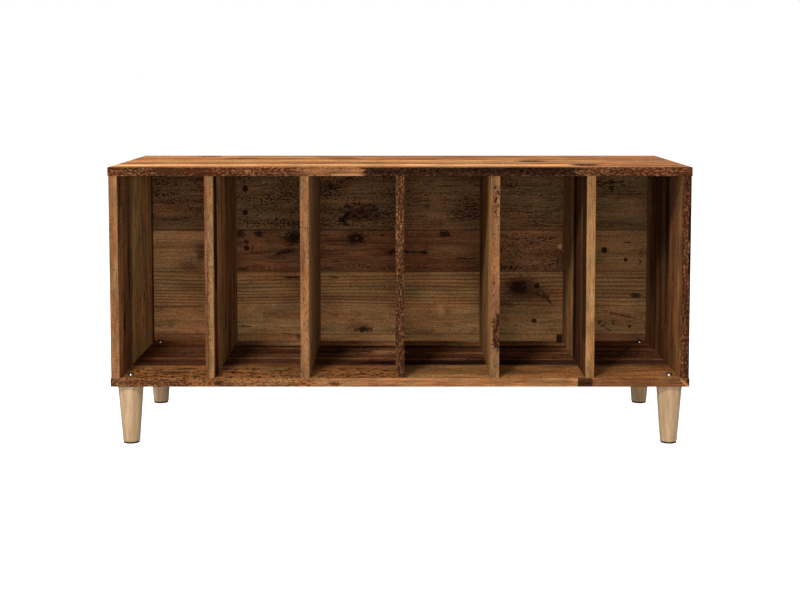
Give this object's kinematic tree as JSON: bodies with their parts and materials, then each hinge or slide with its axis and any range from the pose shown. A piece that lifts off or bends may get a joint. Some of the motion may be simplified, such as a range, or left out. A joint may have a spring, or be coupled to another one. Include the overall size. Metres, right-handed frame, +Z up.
{
  "type": "record cabinet",
  "caption": "Low open cabinet for vinyl records: an old-wood decor carcass with a row of upright bays, a grooved-in back and tapered turned legs bolted on from inside.",
  "frame": {"origin": "on the floor, under the middle of the cabinet", "axes": "+Z up, +Y from the open front to the back, +X to the right seen from the front"},
  "size_m": [1, 0.38, 0.484],
  "materials": {
    "decor_board": "chipboard faced with a matt print of old reclaimed wood",
    "decor_band": "thin edge band with the same old-wood print",
    "decor_back": "thin fibreboard with the old-wood print on its front",
    "leg_wood": "pale turned hardwood, clear matt lacquer",
    "glide_plastic": "dark moulded plastic",
    "bright_steel": "bright nickel-plated steel",
    "plated_steel": "zinc-plated steel",
    "zinc_casting": "dull zinc die casting",
    "dowel_wood": "plain ribbed beech",
    "decor_foil": "stick-on foil with the old-wood print"
  },
  "bodies": {
    "root": {"back_panel": "decor_back", "back_panel_screws": "plated_steel", "bottom_dowels": "dowel_wood", "bottom_front_band": "decor_band", "bottom_left_end_band": "decor_band", "bottom_panel": "decor_board", "bottom_right_end_band": "decor_band", "cam_bolts": "plated_steel", "cam_covers": "decor_foil", "cam_locks": "zinc_casting", "divider_1_front_band": "decor_band", "divider_1_panel": "decor_board", "divider_2_front_band": "decor_band", "divider_2_panel": "decor_board", "divider_3_front_band": "decor_band", "divider_3_panel": "decor_board", "divider_4_front_band": "decor_band", "divider_4_panel": "decor_board", "divider_5_front_band": "decor_band", "divider_5_panel": "decor_board", "glide_front_left": "glide_plastic", "glide_front_right": "glide_plastic", "glide_rear_left": "glide_plastic", "glide_rear_right": "glide_plastic", "left_side_front_band": "decor_band", "left_side_panel": "decor_board", "leg_bolts": "bright_steel", "leg_front_left": "leg_wood", "leg_front_right": "leg_wood", "leg_inserts": "zinc_casting", "leg_rear_left": "leg_wood", "leg_rear_right": "leg_wood", "long_screws": "plated_steel", "right_side_front_band": "decor_band", "right_side_panel": "decor_board", "top_dowels": "dowel_wood", "top_front_band": "decor_band", "top_left_end_band": "decor_band", "top_panel": "decor_board", "top_right_end_band": "decor_band"}
  },
  "joints": []
}
